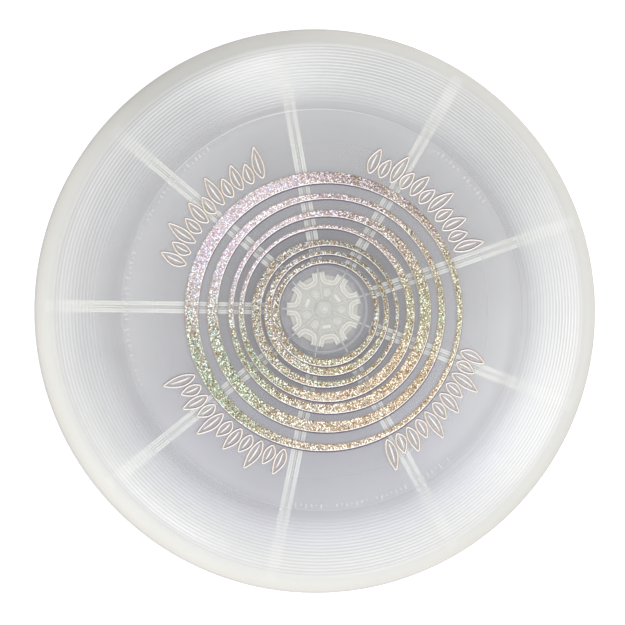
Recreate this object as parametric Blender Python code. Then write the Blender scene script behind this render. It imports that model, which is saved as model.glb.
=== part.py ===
"""Light-up flying disc: a translucent domed plate lit by nine light fibres from a battery module at its centre.

The disc lies rim down. The origin is the centre of its footprint, +Z is up, and the lengths below are in mm.
"""

import math

import bmesh
import bpy
from mathutils import Matrix, Vector
from mathutils.geometry import interpolate_bezier

MM = 0.001
GAP = 0.3  # between neighbouring parts

# The moulded disc
DISC_R = 136.5
DISC_HEIGHT = 32.0
DOME_R = 763.0  # radius of the flat dome over the plate
SHOULDER_R = 100.0  # where the plate starts to turn down
SHOULDER_END_R = 128.0
SHOULDER_CURVE = 0.0044
PLATE = 1.8
NOSE_Z = 6.5  # height of the widest line
LAND_OUT_R = 133.4  # flat foot of the rim
LAND_IN_R = 131.6
RIM_INSIDE_R = 130.2
RIM_INSIDE_Z = 9.0
UNDERSIDE_R = 121.0  # the plate's even thickness ends here
SHOULDER_HANDLE = (3.5, 1.3)  # Bezier handles of the rim's section: out and down from the shoulder's end,
NOSE_HIGH_HANDLE_Z = 12.4  # above and below the widest line,
NOSE_LOW_HANDLE_Z = 3.0
FOOT_HANDLE = (1.9, 0.3)  # out and up from the foot,
FILLET_HANDLE_Z = 14.2  # up the rim's inner wall,
PLATE_HANDLE = (5.3, 1.7)  # and out and down from the plate's lower face
MODULE_EDGE_R = 24.0  # a line round the module keeps the faceted plate clear of it

# Spokes: nine pairs of ribs, each pair holding one fibre
SPOKES = 9
FIRST_SPOKE = 19.3  # degrees from +X
SPOKE_STEP = 360 / SPOKES
RIB_WIDTH = 1.9
RIB_DEPTH = 1.6
RIB_OFFSET = 1.75  # from the spoke's line to a rib's middle
RIB_IN_R = 23.5
RIB_OUT_R = 130.9
FIBRE_R = 0.5
FIBRE_IN_R = 4.8
FIBRE_OUT_R = 125.5

# Fibre hub
HUB_R = 16.3
HUB_BORE_R = 4.6
HUB_LOW = 26.9
HUB_TOP = 28.3
WALL_TOP = 29.5
WALL_END = 17.6  # along the spoke
WALL_OFFSET = 1.8  # from the spoke's line to a wall's middle
WALL_WIDTH = 2.1
WALL_BOTTOM = 13.0  # from the axis to the middle of a wall's cross piece
WALL_BEND_R = 2.4
PEG_R = 2.1  # heat-staked pegs of the disc, through the hub
PEG_PLACE_R = 8.3
PEG_LOW = 27.2
KEY_EVERY = 3  # every third sector has a key bar instead of a peg
KEY_SIZE = (1.5, 4.4, 0.5)

# Module housing
HOUSING_R = 20.9
HOUSING_INSIDE_R = 19.3
HOUSING_LIP_R = 19.7
HOUSING_LIP_Z = 29.6
HOUSING_TOP = HUB_LOW - GAP
HOUSING_CEILING = 25.0
HOUSING_LOW = 17.5
BOSS_R = 2.0
BOSS_PLACE_R = 17.6
BOSS_HOLE_R = 1.2
BOSS_HOLE_TOP = 23.4
FIRST_BOSS = FIRST_SPOKE + SPOKE_STEP / 2
NOTCH_WIDTH = 1.8
NOTCH_LOW = 28.2
LED_R = 1.5
LED_FLANGE_R = 1.9
LED_TOP = 28.7

# Electronics
BOARD_R = 14.8
BOARD_THICK = 1.0
BOARD_TOP = HOUSING_CEILING - GAP
BOARD_LOW = BOARD_TOP - BOARD_THICK
CHIP_SIZE = (2.2, 3.2, 0.9)
RESISTOR_SIZE = (1.2, 2.0, 0.5)
SMALL_PART_R = 13.25
CELL_R = 10.0
CELL_THICK = 1.6
UPPER_CELL_LOW = 21.0
LOWER_CELL_LOW = UPPER_CELL_LOW - CELL_THICK - GAP
CELL_RING_IN_R = 10.35
CELL_RING_OUT_R = 11.9
CELL_RING_LOW = 18.6

# Cover and button
COVER_R = 21.4
COVER_TOP = HOUSING_LOW - GAP
COVER_LOW = COVER_TOP - 1.6
BUTTON_HOLE_R = 6.0
BUTTON_R = BUTTON_HOLE_R - GAP
BUTTON_LOW = 14.3
FLANGE_R = 8.6
FLANGE_TOP = 18.1
GROOVE_IN_R = 19.8
GROOVE_OUT_R = 20.8
GROOVE_LOW = 16.5
SCREW_R = 0.9
SCREW_HEAD_R = 1.6
SCREW_HEAD_LOW = 15.3
SCREW_HEAD_TOP = 16.0
COUNTERBORE_R = SCREW_HEAD_R + GAP
COUNTERBORE_TOP = 16.3
SCREW_TOP = 22.5

SIDES = 60  # round the disc
MODULE_SIDES = 36
SMALL_SIDES = 14


def clear_scene():
    for thing in list(bpy.data.objects):
        bpy.data.objects.remove(thing)


def plain_material(name, colour, roughness, metallic=0.0, alpha=1.0):
    material = bpy.data.materials.new(name)
    material.use_nodes = True
    shader = material.node_tree.nodes["Principled BSDF"]
    shader.inputs["Base Color"].default_value = (*colour, 1.0)
    shader.inputs["Roughness"].default_value = roughness
    shader.inputs["Metallic"].default_value = metallic
    shader.inputs["Alpha"].default_value = alpha
    return material


def finish(name, mesh_data, material):
    """Turns a bmesh in mm into a named object in metres."""
    bmesh.ops.remove_doubles(mesh_data, verts=mesh_data.verts, dist=1e-4)
    bmesh.ops.scale(mesh_data, vec=(MM, MM, MM), verts=mesh_data.verts)
    bmesh.ops.recalc_face_normals(mesh_data, faces=mesh_data.faces)
    mesh = bpy.data.meshes.new(name)
    mesh_data.to_mesh(mesh)
    mesh_data.free()
    mesh.shade_smooth()
    mesh.set_sharp_from_angle(angle=math.radians(30))
    mesh.materials.append(material)
    thing = bpy.data.objects.new(name, mesh)
    bpy.context.scene.collection.objects.link(thing)
    return thing


def turned(name, outline, material, sides, place=(0, 0)):
    """A closed outline of (radius, z) points turned about the vertical through place."""
    shape = bmesh.new()
    points = [shape.verts.new((r, 0, z)) for r, z in outline]
    edges = [
        shape.edges.new((a, b))
        for a, b in zip(points, points[1:] + points[:1])
        if a.co.x > 0 or b.co.x > 0
    ]
    bmesh.ops.spin(
        shape,
        geom=points + edges,
        cent=(0, 0, 0),
        axis=(0, 0, 1),
        angle=2 * math.pi,
        steps=sides,
        use_merge=True,
    )
    bmesh.ops.translate(shape, vec=(*place, 0), verts=shape.verts)
    return finish(name, shape, material)


def cylinder(name, radius, low, high, place, material, sides=SMALL_SIDES):
    outline = [(0, low), (radius, low), (radius, high), (0, high)]
    return turned(name, outline, material, sides, place)


def block(name, size, place, degrees, low, material):
    """A box whose size is (radial, tangential, height), turned to face outwards."""
    shape = bmesh.new()
    bmesh.ops.create_cube(shape, size=1)
    bmesh.ops.scale(shape, vec=size, verts=shape.verts)
    bmesh.ops.translate(shape, vec=(place, 0, low + size[2] / 2), verts=shape.verts)
    turn_about_axis(shape, degrees)
    return finish(name, shape, material)


def turn_about_axis(shape, degrees):
    bmesh.ops.rotate(
        shape,
        cent=(0, 0, 0),
        matrix=Matrix.Rotation(math.radians(degrees), 3, "Z"),
        verts=shape.verts,
    )


def around(radius, degrees):
    angle = math.radians(degrees)
    return (radius * math.cos(angle), radius * math.sin(angle))


def spoke_angles():
    return [FIRST_SPOKE + SPOKE_STEP * i for i in range(SPOKES)]


def sector_angles():
    return [angle + SPOKE_STEP / 2 for angle in spoke_angles()]


def combine(target, helpers, operation):
    """Boolean of target with helper objects, which stay as hidden wires."""
    group = bpy.data.collections.new(f"{target.name}_{operation.lower()}")
    bpy.context.scene.collection.children.link(group)
    for helper in helpers:
        bpy.context.scene.collection.objects.unlink(helper)
        group.objects.link(helper)
        helper.hide_render = True
        helper.display_type = "WIRE"
    modifier = target.modifiers.new(operation.title(), "BOOLEAN")
    modifier.operand_type = "COLLECTION"
    modifier.collection = group
    modifier.operation = operation
    modifier.solver = "EXACT"


# ---- the disc's section ----


def top_z(r):
    """Height of the plate's upper face, out to the end of the shoulder."""
    flat_r = min(r, SHOULDER_R)
    z = DISC_HEIGHT - flat_r**2 / (2 * DOME_R)
    past = max(0.0, r - SHOULDER_R)
    return z - past * SHOULDER_R / DOME_R - SHOULDER_CURVE * past**2


def curve(start, start_handle, end_handle, end, count):
    """Points of one Bezier stretch of the section, without its last one."""
    knots = [Vector((*point, 0)) for point in (start, start_handle, end_handle, end)]
    return [(p.x, p.y) for p in interpolate_bezier(*knots, count + 1)[:-1]]


def disc_section():
    top = [(r, top_z(r)) for r in (0, MODULE_EDGE_R, 60, SHOULDER_R, 109, 118.5)]
    end_z = top_z(SHOULDER_END_R)
    under_z = top_z(UNDERSIDE_R) - PLATE
    outside = curve(
        (SHOULDER_END_R, end_z),
        (SHOULDER_END_R + SHOULDER_HANDLE[0], end_z - SHOULDER_HANDLE[1]),
        (DISC_R, NOSE_HIGH_HANDLE_Z),
        (DISC_R, NOSE_Z),
        6,
    )
    nose = curve(
        (DISC_R, NOSE_Z),
        (DISC_R, NOSE_LOW_HANDLE_Z),
        (LAND_OUT_R + FOOT_HANDLE[0], FOOT_HANDLE[1]),
        (LAND_OUT_R, 0),
        4,
    )
    inside = [
        (LAND_OUT_R, 0),
        (LAND_IN_R, 0),
        (RIM_INSIDE_R + 0.5, 1.2),
    ]
    fillet = curve(
        (RIM_INSIDE_R, RIM_INSIDE_Z),
        (RIM_INSIDE_R, FILLET_HANDLE_Z),
        (UNDERSIDE_R + PLATE_HANDLE[0], under_z - PLATE_HANDLE[1]),
        (UNDERSIDE_R, under_z),
        5,
    )
    under = [(r, top_z(r) - PLATE) for r in (UNDERSIDE_R, 110, SHOULDER_R, 60, MODULE_EDGE_R, 0)]
    return top + outside + nose + inside + fillet + under, fillet + under


def under_z(r):
    """Height of the plate's lower face, read off the section."""
    _, line = disc_section()
    for (r_out, z_out), (r_in, z_in) in zip(line, line[1:]):
        if r_in <= r <= r_out:
            share = (r - r_in) / (r_out - r_in)
            return z_in + share * (z_out - z_in)
    return RIM_INSIDE_Z


def rib(name, degrees, offset, material):
    """One straight rib under the plate, buried in it above and in the rim at its end."""
    places = (RIB_IN_R, 60, SHOULDER_R, 110, UNDERSIDE_R, 125, 128, RIB_OUT_R)
    heights = [under_z(min(r, RIM_INSIDE_R - 0.7)) for r in places]
    low = [(r, z - RIB_DEPTH) for r, z in zip(places, heights)]
    high = [(r, z + PLATE / 2) for r, z in zip(places, heights)]
    shape = bmesh.new()
    outline = [shape.verts.new((r, offset - RIB_WIDTH / 2, z)) for r, z in low + high[::-1]]
    side = shape.faces.new(outline)
    moved = bmesh.ops.extrude_face_region(shape, geom=[side])["geom"]
    fresh = [item for item in moved if isinstance(item, bmesh.types.BMVert)]
    bmesh.ops.translate(shape, vec=(0, RIB_WIDTH, 0), verts=fresh)
    turn_about_axis(shape, degrees)
    return finish(name, shape, material)


def disc_body(material):
    section, _ = disc_section()
    body = turned("disc_body", section, material, SIDES)
    helpers = []
    for i, degrees in enumerate(spoke_angles()):
        for side in (-1, 1):
            helpers.append(rib(f"rib_{i}_{side}", degrees, side * RIB_OFFSET, material))
    for i, degrees in enumerate(sector_angles()):
        if i % KEY_EVERY:
            helpers.append(
                cylinder(
                    f"peg_{i}",
                    PEG_R,
                    PEG_LOW,
                    DISC_HEIGHT - PLATE / 2,
                    around(PEG_PLACE_R, degrees),
                    material,
                )
            )
    combine(body, helpers, "UNION")


def light_fibre(name, degrees, material):
    """A straight fibre that follows the plate's lower face between two ribs."""
    shape = bpy.data.curves.new(name, "CURVE")
    shape.dimensions = "3D"
    shape.bevel_depth = FIBRE_R * MM
    shape.bevel_resolution = 1
    shape.use_fill_caps = True
    line = shape.splines.new("POLY")
    places = (FIBRE_IN_R, MODULE_EDGE_R, 60, SHOULDER_R, 110, UNDERSIDE_R, FIBRE_OUT_R)
    line.points.add(len(places) - 1)
    for point, r in zip(line.points, places):
        z = under_z(r) - GAP - FIBRE_R
        point.co = (r * MM, 0, z * MM, 1)
    shape.materials.append(material)
    fibre = bpy.data.objects.new(name, shape)
    fibre.rotation_euler.z = math.radians(degrees)
    bpy.context.scene.collection.objects.link(fibre)


# ---- the fibre hub ----


def wall_line():
    """Middle line of one U-shaped wall, in its sector's own frame: open end out along +X."""
    half = math.radians(SPOKE_STEP / 2)
    along = Vector((math.cos(half), math.sin(half)))
    across = Vector((math.sin(half), -math.cos(half)))
    tip = along * WALL_END + across * WALL_OFFSET
    reach = (WALL_BOTTOM - WALL_OFFSET * across.x) / along.x
    corner = along * reach + across * WALL_OFFSET
    tangent = WALL_BEND_R * math.tan((math.pi / 2 - half) / 2)
    enter = corner + along * tangent
    leave = corner - Vector((0, tangent))
    steps = (0, 0.25, 0.5, 0.75, 1)
    bend = [(1 - t) ** 2 * enter + 2 * t * (1 - t) * corner + t**2 * leave for t in steps]
    half_line = [tip] + bend
    return half_line + [Vector((p.x, -p.y)) for p in reversed(half_line)]


def wall(name, degrees, material):
    """A wall swept along the U, with a shallow groove down the middle of its top."""
    w, groove = WALL_WIDTH / 2, WALL_WIDTH / 7
    base = HUB_TOP - 0.7
    section = [
        (-w, base),
        (-w, WALL_TOP),
        (-groove, WALL_TOP),
        (-groove, WALL_TOP - 0.7),
        (groove, WALL_TOP - 0.7),
        (groove, WALL_TOP),
        (w, WALL_TOP),
        (w, base),
    ]
    line = wall_line()
    shape = bmesh.new()
    rings = []
    for i, point in enumerate(line):
        ahead = line[min(i + 1, len(line) - 1)] - line[max(i - 1, 0)]
        side = Vector((-ahead.y, ahead.x)).normalized()
        rings.append([shape.verts.new((*(point + side * s), z)) for s, z in section])
    for one, other in zip(rings, rings[1:]):
        for k in range(len(section)):
            n = (k + 1) % len(section)
            shape.faces.new((one[k], one[n], other[n], other[k]))
    shape.faces.new(rings[0])
    shape.faces.new(rings[-1])
    turn_about_axis(shape, degrees)
    return finish(name, shape, material)


def fibre_hub(material):
    outline = [(HUB_BORE_R, HUB_LOW), (HUB_R, HUB_LOW), (HUB_R, HUB_TOP), (HUB_BORE_R, HUB_TOP)]
    hub = turned("fibre_hub", outline, material, MODULE_SIDES)
    added, holes = [], []
    for i, degrees in enumerate(sector_angles()):
        added.append(wall(f"wall_{i}", degrees, material))
        if i % KEY_EVERY:
            place = around(PEG_PLACE_R, degrees)
            holes.append(
                cylinder(f"peg_hole_{i}", PEG_R + GAP, HUB_LOW - 1, HUB_TOP + 1, place, material)
            )
        else:
            low = HUB_TOP - KEY_SIZE[2] / 2
            added.append(block(f"key_{i}", KEY_SIZE, PEG_PLACE_R, degrees, low, material))
    combine(hub, added, "UNION")
    combine(hub, holes, "DIFFERENCE")


def light_coupler(material):
    """Clear cap over the LED that turns its light out into the fibres."""
    low, high = HUB_LOW, HOUSING_LIP_Z
    outline = [
        (LED_R + 0.35, low),
        (HUB_BORE_R - 0.4, low),
        (HUB_BORE_R - 0.4, high - 0.4),
        (HUB_BORE_R - 0.8, high),
        (0, high),
        (0, LED_TOP + 0.35),
        (LED_R + 0.35, LED_TOP - 0.2),
    ]
    turned("light_coupler", outline, material, 24)


# ---- the module ----


def module_housing(material):
    outline = [
        (LED_FLANGE_R + 0.5, HOUSING_CEILING),
        (HOUSING_INSIDE_R, HOUSING_CEILING),
        (HOUSING_INSIDE_R, HOUSING_LOW),
        (HOUSING_R, HOUSING_LOW),
        (HOUSING_R, HOUSING_LIP_Z),
        (HOUSING_LIP_R, HOUSING_LIP_Z),
        (HOUSING_LIP_R, HOUSING_TOP),
        (LED_FLANGE_R + 0.5, HOUSING_TOP),
    ]
    housing = turned("module_housing", outline, material, MODULE_SIDES)
    bosses, cuts = [], []
    for i, degrees in enumerate(boss_angles()):
        place = around(BOSS_PLACE_R, degrees)
        bosses.append(
            cylinder(f"boss_{i}", BOSS_R, HOUSING_LOW, HOUSING_CEILING + 0.5, place, material)
        )
        cuts.append(
            cylinder(f"boss_hole_{i}", BOSS_HOLE_R, HOUSING_LOW - 1, BOSS_HOLE_TOP, place, material)
        )
    for i, degrees in enumerate(spoke_angles()):
        size = (3.0, NOTCH_WIDTH, 3.0)
        cuts.append(block(f"notch_{i}", size, HOUSING_R - 0.6, degrees, NOTCH_LOW, material))
    combine(housing, bosses, "UNION")
    combine(housing, cuts, "DIFFERENCE")


def boss_angles():
    return [FIRST_BOSS + 120 * i for i in range(3)]


def led(material):
    low = HOUSING_CEILING
    outline = [
        (0, low),
        (LED_FLANGE_R, low),
        (LED_FLANGE_R, low + 0.6),
        (LED_R, low + 0.6),
        (LED_R, LED_TOP - 1.3),
        (LED_R * 0.85, LED_TOP - 0.55),
        (LED_R * 0.5, LED_TOP - 0.12),
        (0, LED_TOP),
    ]
    turned("led", outline, material, SMALL_SIDES)


def electronics(board, black, ceramic, spring):
    cylinder("circuit_board", BOARD_R, BOARD_LOW, BOARD_TOP, (0, 0), board, MODULE_SIDES)
    under = BOARD_LOW - GAP
    block(
        "controller_chip", CHIP_SIZE, SMALL_PART_R, FIRST_BOSS + 60, under - CHIP_SIZE[2], black
    )
    block(
        "resistor", RESISTOR_SIZE, SMALL_PART_R, FIRST_BOSS + 180, under - RESISTOR_SIZE[2], ceramic
    )
    outline = [(0, 22.9), (2.4, 23.0), (4.2, 23.25), (4.2, under), (2.4, 23.2), (0, 23.1)]
    turned("snap_dome", outline, spring, 20)


def coin_cell(name, low, material):
    """The can is the wide lower part, the cap stands a little proud on top."""
    high = low + CELL_THICK
    outline = [
        (0, low),
        (CELL_R - 0.3, low),
        (CELL_R, low + 0.3),
        (CELL_R, high - 0.25),
        (CELL_R - 0.8, high - 0.25),
        (CELL_R - 0.9, high),
        (0, high),
    ]
    turned(name, outline, material, MODULE_SIDES)


def cell_ring(material):
    top = BOARD_LOW - GAP
    outline = [
        (CELL_RING_IN_R, CELL_RING_LOW),
        (CELL_RING_OUT_R, CELL_RING_LOW),
        (CELL_RING_OUT_R, top),
        (CELL_RING_IN_R, top),
    ]
    turned("cell_ring", outline, material, MODULE_SIDES)


def contact_spring(material):
    low = FLANGE_TOP + GAP
    outline = [(3.0, low + 0.2), (8.0, low), (8.0, low + 0.2), (3.0, low + 0.4)]
    turned("contact_spring", outline, material, 24)


def battery_cover(material):
    outline = [
        (BUTTON_HOLE_R, COVER_LOW),
        (COVER_R - 0.5, COVER_LOW),
        (COVER_R, COVER_LOW + 0.5),
        (COVER_R, COVER_TOP),
        (GROOVE_OUT_R, COVER_TOP),
        (GROOVE_OUT_R, GROOVE_LOW),
        (GROOVE_IN_R, GROOVE_LOW),
        (GROOVE_IN_R, COVER_TOP),
        (BUTTON_HOLE_R, COVER_TOP),
    ]
    cover = turned("battery_cover", outline, material, MODULE_SIDES)
    holes, sinks = [], []
    for i, degrees in enumerate(boss_angles()):
        place = around(BOSS_PLACE_R, degrees)
        holes.append(
            cylinder(f"screw_hole_{i}", BOSS_HOLE_R, COVER_LOW - 1, COVER_TOP + 1, place, material)
        )
        sinks.append(
            cylinder(
                f"screw_sink_{i}", COUNTERBORE_R, COVER_LOW - 1, COUNTERBORE_TOP, place, material
            )
        )
    combine(cover, holes, "DIFFERENCE")
    combine(cover, sinks, "DIFFERENCE")


def cover_seal(material):
    outline = [
        (GROOVE_IN_R + 0.2, GROOVE_LOW + GAP),
        (GROOVE_OUT_R - 0.2, GROOVE_LOW + GAP),
        (GROOVE_OUT_R - 0.2, COVER_TOP),
        (GROOVE_IN_R + 0.2, COVER_TOP),
    ]
    turned("cover_seal", outline, material, MODULE_SIDES)


def cover_screw(name, degrees, material):
    """A small pan-head screw with a cross recess, its head down."""
    place = around(BOSS_PLACE_R, degrees)
    outline = [
        (0, SCREW_HEAD_LOW),
        (SCREW_HEAD_R - 0.3, SCREW_HEAD_LOW),
        (SCREW_HEAD_R, SCREW_HEAD_LOW + 0.3),
        (SCREW_HEAD_R, SCREW_HEAD_TOP),
        (SCREW_R, SCREW_HEAD_TOP),
        (SCREW_R, SCREW_TOP - 0.8),
        (SCREW_R * 0.4, SCREW_TOP),
        (0, SCREW_TOP),
    ]
    screw = turned(name, outline, material, 12, place)
    slots = [
        block(f"{name}_slot_{i}", size, BOSS_PLACE_R, degrees, SCREW_HEAD_LOW - 1, material)
        for i, size in enumerate(((1.8, 0.4, 1.4), (0.4, 1.8, 1.4)))
    ]
    combine(screw, slots, "DIFFERENCE")


def push_button(material):
    outline = [
        (0, BUTTON_LOW + 0.4),
        (3.6, BUTTON_LOW + 0.15),
        (4.9, BUTTON_LOW),
        (BUTTON_R, BUTTON_LOW + 0.7),
        (BUTTON_R, HOUSING_LOW),
        (FLANGE_R, HOUSING_LOW),
        (FLANGE_R, FLANGE_TOP),
        (0, FLANGE_TOP),
    ]
    turned("push_button", outline, material, MODULE_SIDES)


def build():
    clear_scene()
    milky = plain_material("milky_plastic", (0.78, 0.79, 0.82), 0.25, alpha=0.6)
    clear = plain_material("clear_plastic", (0.85, 0.87, 0.88), 0.05, alpha=0.4)
    fibre = plain_material("light_fibre", (0.82, 0.83, 0.80), 0.15, alpha=0.6)
    cream = plain_material("cream_plastic", (0.80, 0.77, 0.71), 0.4)
    white = plain_material("white_plastic", (0.82, 0.82, 0.80), 0.45)
    rubber = plain_material("button_rubber", (0.62, 0.62, 0.60), 0.7)
    board = plain_material("board_green", (0.05, 0.25, 0.10), 0.4)
    black = plain_material("chip_black", (0.02, 0.02, 0.02), 0.5)
    ceramic = plain_material("ceramic_dark", (0.05, 0.05, 0.06), 0.4)
    steel = plain_material("steel", (0.70, 0.70, 0.70), 0.25, metallic=1.0)

    disc_body(milky)
    for i, degrees in enumerate(spoke_angles(), 1):
        light_fibre(f"light_fibre_{i}", degrees, fibre)
    fibre_hub(cream)
    light_coupler(clear)
    led(clear)
    module_housing(white)
    electronics(board, black, ceramic, steel)
    coin_cell("coin_cell_upper", UPPER_CELL_LOW, steel)
    coin_cell("coin_cell_lower", LOWER_CELL_LOW, steel)
    cell_ring(white)
    contact_spring(steel)
    battery_cover(white)
    cover_seal(rubber)
    for i, degrees in enumerate(boss_angles(), 1):
        cover_screw(f"cover_screw_{i}", degrees, steel)
    push_button(rubber)


build()
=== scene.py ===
import math

import bmesh
import bpy
from mathutils import Matrix, Vector
from mathutils.geometry import interpolate_bezier


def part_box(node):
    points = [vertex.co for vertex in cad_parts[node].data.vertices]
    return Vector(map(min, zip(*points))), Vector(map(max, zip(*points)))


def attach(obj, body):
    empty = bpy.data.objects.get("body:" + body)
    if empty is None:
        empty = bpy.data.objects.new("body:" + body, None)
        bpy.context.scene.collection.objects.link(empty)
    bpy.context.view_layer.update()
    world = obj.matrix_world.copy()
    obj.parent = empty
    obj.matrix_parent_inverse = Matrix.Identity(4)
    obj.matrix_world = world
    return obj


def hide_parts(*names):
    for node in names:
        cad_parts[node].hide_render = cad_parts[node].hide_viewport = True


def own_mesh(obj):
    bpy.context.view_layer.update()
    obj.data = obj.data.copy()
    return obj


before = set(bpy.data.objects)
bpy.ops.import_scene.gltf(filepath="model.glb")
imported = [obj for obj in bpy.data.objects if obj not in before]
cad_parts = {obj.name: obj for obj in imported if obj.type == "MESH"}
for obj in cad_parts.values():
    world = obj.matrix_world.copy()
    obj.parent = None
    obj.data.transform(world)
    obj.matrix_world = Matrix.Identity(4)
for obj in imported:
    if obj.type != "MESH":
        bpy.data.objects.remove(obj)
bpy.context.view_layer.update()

# Lengths are in mm, in the frame's own axes: origin under the disc's centre, +Z up.
MM = 0.001

# ---- sizes taken from the frame ----


def node_low(name):
    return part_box(name)[0].z / MM


def node_high(name):
    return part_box(name)[1].z / MM


def node_radius(name):
    low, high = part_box(name)
    return (high.x - low.x) / 2 / MM


DISC_R = node_radius("disc_body")
DISC_HEIGHT = node_high("disc_body")

# The disc's section, as in the CAD part
DOME_R = 763.0
SHOULDER_R = 100.0
SHOULDER_END_R = 128.0
SHOULDER_CURVE = 0.0044
PLATE = 1.8
NOSE_Z = 6.5
LAND_OUT_R, LAND_IN_R = 133.4, 131.6
RIM_INSIDE_R, RIM_INSIDE_Z = 130.2, 9.0
UNDERSIDE_R = 121.0
SHOULDER_HANDLE = (1.5, 0.62)
NOSE_HIGH_HANDLE_Z, NOSE_LOW_HANDLE_Z = 12.4, 3.0
FOOT_HANDLE = (1.9, 0.3)
FILLET_HANDLE_Z = 14.2
PLATE_HANDLE = (5.3, 1.7)

# Fine flight ribs moulded in the shoulder, too small for the CAD part
FLIGHT_RIBS = 18
FLIGHT_RIB_FIRST_R = 98.6
FLIGHT_RIB_PITCH = 1.6
FLIGHT_RIB_DEPTH = 0.15
FLIGHT_RIB_STEPS = 6  # points along one rib's section
SHOULDER_LINE_R = 95.3  # a fine raised line just inside the shoulder
SHOULDER_LINE_SHAPE = ((-0.5, 0), (-0.2, 0.12), (0.2, 0.12), (0.5, 0))  # offset and rise
SHOULDER_LINE_END = 1.3  # from that line to where the plate's own face starts again

# Spokes
SPOKES = 9
FIRST_SPOKE = 19.3
SPOKE_STEP = 360 / SPOKES
RIB_WIDTH = 1.9
RIB_DEPTH = 1.6
RIB_OFFSET = 1.75
RIB_IN_R, RIB_OUT_R = 23.5, 131.0
RIB_FINE_R = 120.0  # from here out the ribs follow the rim's fillet in finer steps

# Hub
HUB_R, HUB_BORE_R = 16.3, 4.6
HUB_PLATE = 1.4
HUB_LOW = node_low("fibre_hub")
HUB_TOP = HUB_LOW + HUB_PLATE
WALL_TOP = node_high("fibre_hub")
WALL_END, WALL_OFFSET, WALL_BOTTOM, WALL_BEND_R = 17.6, 1.8, 13.0, 2.4
PEG_R, PEG_PLACE_R = 2.1, 8.3
KEY_EVERY = 3
KEY_SIZE = (1.5, 4.4)
KEY_POINTS = 16
PEG_SHADE, KEY_SHADE = 0.40, 0.78  # how pale they look, from 0 to 1

# Module
HOUSING_OUT_R, HOUSING_IN_R, HOUSING_LIP_R = 20.9, 19.3, 19.7
HOUSING_CEILING_Z = 25.0
HOUSING_BORE_R = 2.4
BOSS_PLACE_R, BOSS_R, BOSS_BORE_R = 17.6, 2.0, 1.2
COVER_FACE_R, COVER_IN_R = 20.8, 19.8
COVER_STEP_Z = 16.5
COVER_HOLE_R = 6.0
SINK_R, SINK_Z = 1.9, 16.3
KNURLS, KNURL_STEPS, KNURL_DEPTH = 60, 6, 0.25
DOME_LEAF = 0.1  # how thick the dome's steel is

SIDES = 360


def spoke_angles():
    return [FIRST_SPOKE + SPOKE_STEP * i for i in range(SPOKES)]


def sector_angles():
    return [angle + SPOKE_STEP / 2 for angle in spoke_angles()]


def boss_angles():
    return [FIRST_SPOKE + SPOKE_STEP / 2 + 120 * i for i in range(3)]


def around(radius, degrees):
    angle = math.radians(degrees)
    return Vector((radius * math.cos(angle), radius * math.sin(angle)))


def turned_point(point, degrees):
    """A 2-D point turned about the disc's axis."""
    angle = math.radians(degrees)
    c, s = math.cos(angle), math.sin(angle)
    return Vector((point.x * c - point.y * s, point.x * s + point.y * c))


# ---- the disc's section ----


def top_z(r):
    past = max(0.0, r - SHOULDER_R)
    flat = min(r, SHOULDER_R)
    z = DISC_HEIGHT - flat**2 / (2 * DOME_R)
    return z - past * SHOULDER_R / DOME_R - SHOULDER_CURVE * past**2


def curve(start, start_handle, end_handle, end, count):
    knots = [Vector((*point, 0)) for point in (start, start_handle, end_handle, end)]
    return [(p.x, p.y) for p in interpolate_bezier(*knots, count + 1)[:-1]]


def spaced(start, end, count):
    return [start + (end - start) * i / count for i in range(count)]


def upper_line():
    """Top face from the axis to the end of the shoulder, with its flight ribs."""
    before = SHOULDER_LINE_R + SHOULDER_LINE_SHAPE[0][0]
    line = [(r, top_z(r)) for r in spaced(0, before, 16)]
    for offset, rise in SHOULDER_LINE_SHAPE:
        r = SHOULDER_LINE_R + offset
        line.append((r, top_z(r) + rise))
    after = SHOULDER_LINE_R + SHOULDER_LINE_END
    line += [(r, top_z(r)) for r in spaced(after, FLIGHT_RIB_FIRST_R, 2)]
    for i in range(FLIGHT_RIBS * FLIGHT_RIB_STEPS):
        r = FLIGHT_RIB_FIRST_R + FLIGHT_RIB_PITCH * i / FLIGHT_RIB_STEPS
        phase = 2 * math.pi * i / FLIGHT_RIB_STEPS
        groove = FLIGHT_RIB_DEPTH * (0.5 - 0.5 * math.cos(phase))
        line.append((r, top_z(r) - groove))
    last = FLIGHT_RIB_FIRST_R + FLIGHT_RIB_PITCH * FLIGHT_RIBS
    line.append((last, top_z(last)))
    return line


def rim_line():
    end_z = top_z(SHOULDER_END_R)
    outside = curve(
        (SHOULDER_END_R, end_z),
        (SHOULDER_END_R + SHOULDER_HANDLE[0], end_z - SHOULDER_HANDLE[1]),
        (DISC_R, NOSE_HIGH_HANDLE_Z),
        (DISC_R, NOSE_Z),
        14,
    )
    nose = curve(
        (DISC_R, NOSE_Z),
        (DISC_R, NOSE_LOW_HANDLE_Z),
        (LAND_OUT_R + FOOT_HANDLE[0], FOOT_HANDLE[1]),
        (LAND_OUT_R, 0),
        10,
    )
    foot = [(LAND_OUT_R, 0), (LAND_IN_R, 0), (RIM_INSIDE_R + 0.5, 1.2)]
    return outside + nose + foot


def lower_line():
    """Lower face from the rim's inner wall to the axis."""
    z = top_z(UNDERSIDE_R) - PLATE
    fillet = curve(
        (RIM_INSIDE_R, RIM_INSIDE_Z),
        (RIM_INSIDE_R, FILLET_HANDLE_Z),
        (UNDERSIDE_R + PLATE_HANDLE[0], z - PLATE_HANDLE[1]),
        (UNDERSIDE_R, z),
        12,
    )
    return fillet + [(r, top_z(r) - PLATE) for r in spaced(UNDERSIDE_R, 0, 14) + [0]]


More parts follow.
